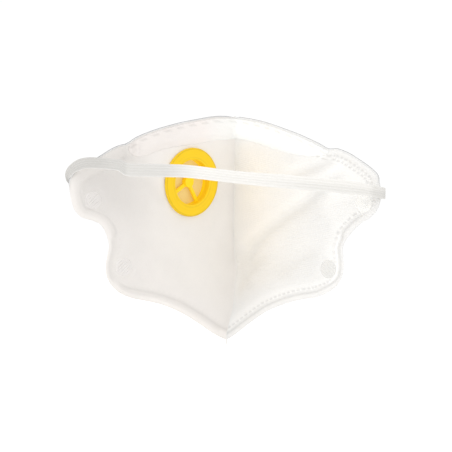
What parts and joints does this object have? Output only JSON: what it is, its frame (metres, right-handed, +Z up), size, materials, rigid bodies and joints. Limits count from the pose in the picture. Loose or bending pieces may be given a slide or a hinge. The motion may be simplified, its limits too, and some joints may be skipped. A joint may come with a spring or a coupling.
{
  "type": "disposable dust mask",
  "caption": "Vertical fold-flat disposable dust mask with welded laminate halves, nose clip and comfort strip, elastic headbands and an exhalation valve.",
  "frame": {"origin": "centre of the bounding box of the opened mask; the centre fold runs along Z through x 0, y -40.65 mm", "axes": "+Z up towards the nose end, +Y towards the face (inside), -Y out of the front, +X the wearer's left half with the valve"},
  "size_m": [0.1964, 0.0951, 0.153],
  "materials": {
    "inner_liner": "matt smooth-bonded nonwoven",
    "support_web": "matt stiff nonwoven",
    "filter_web": "matt melt-blown web",
    "outer_cover": "matt point-bonded nonwoven",
    "weld_seam": "fused nonwoven, slightly translucent",
    "nose_clip": "satin soft strip",
    "comfort_strip": "soft matt white nonwoven",
    "headband": "ribbed woven elastic",
    "strap_weld": "fused and hatched",
    "valve_body": "moulded yellow",
    "valve_cover": "moulded yellow",
    "valve_diaphragm": "thin cream-yellow flap"
  },
  "bodies": {
    "left_half": {"inner_liner_left": "inner_liner", "support_web_left": "support_web", "filter_web_left": "filter_web", "outer_cover_left": "outer_cover", "centre_weld_seam": "weld_seam", "nose_clip": "nose_clip", "nose_comfort_strip": "comfort_strip", "upper_headband": "headband", "lower_headband": "headband", "strap_welds_left": "strap_weld", "valve_inner_flange": "valve_body", "valve_seat": "valve_body", "valve_retaining_pin": "valve_body", "valve_cover": "valve_cover"},
    "right_half": {"inner_liner_right": "inner_liner", "support_web_right": "support_web", "filter_web_right": "filter_web", "outer_cover_right": "outer_cover", "strap_welds_right": "strap_weld"},
    "valve_flap": {"valve_diaphragm": "valve_diaphragm"}
  },
  "joints": [
    {"name": "centre_fold", "type": "hinge", "parent": "left_half", "child": "right_half", "pos_m": [0, -0.04065, 0], "axis": [0, 0, -1], "range_deg": [-35, 78], "deforming": ["centre_weld_seam", "nose_clip", "nose_comfort_strip", "upper_headband", "lower_headband"]},
    {"name": "diaphragm_lift", "type": "slide", "parent": "left_half", "child": "valve_flap", "axis": [0.6806, -0.7265, 0.0945], "range_m": [0, 0.0012], "stiffness_N_per_m": 20}
  ]
}
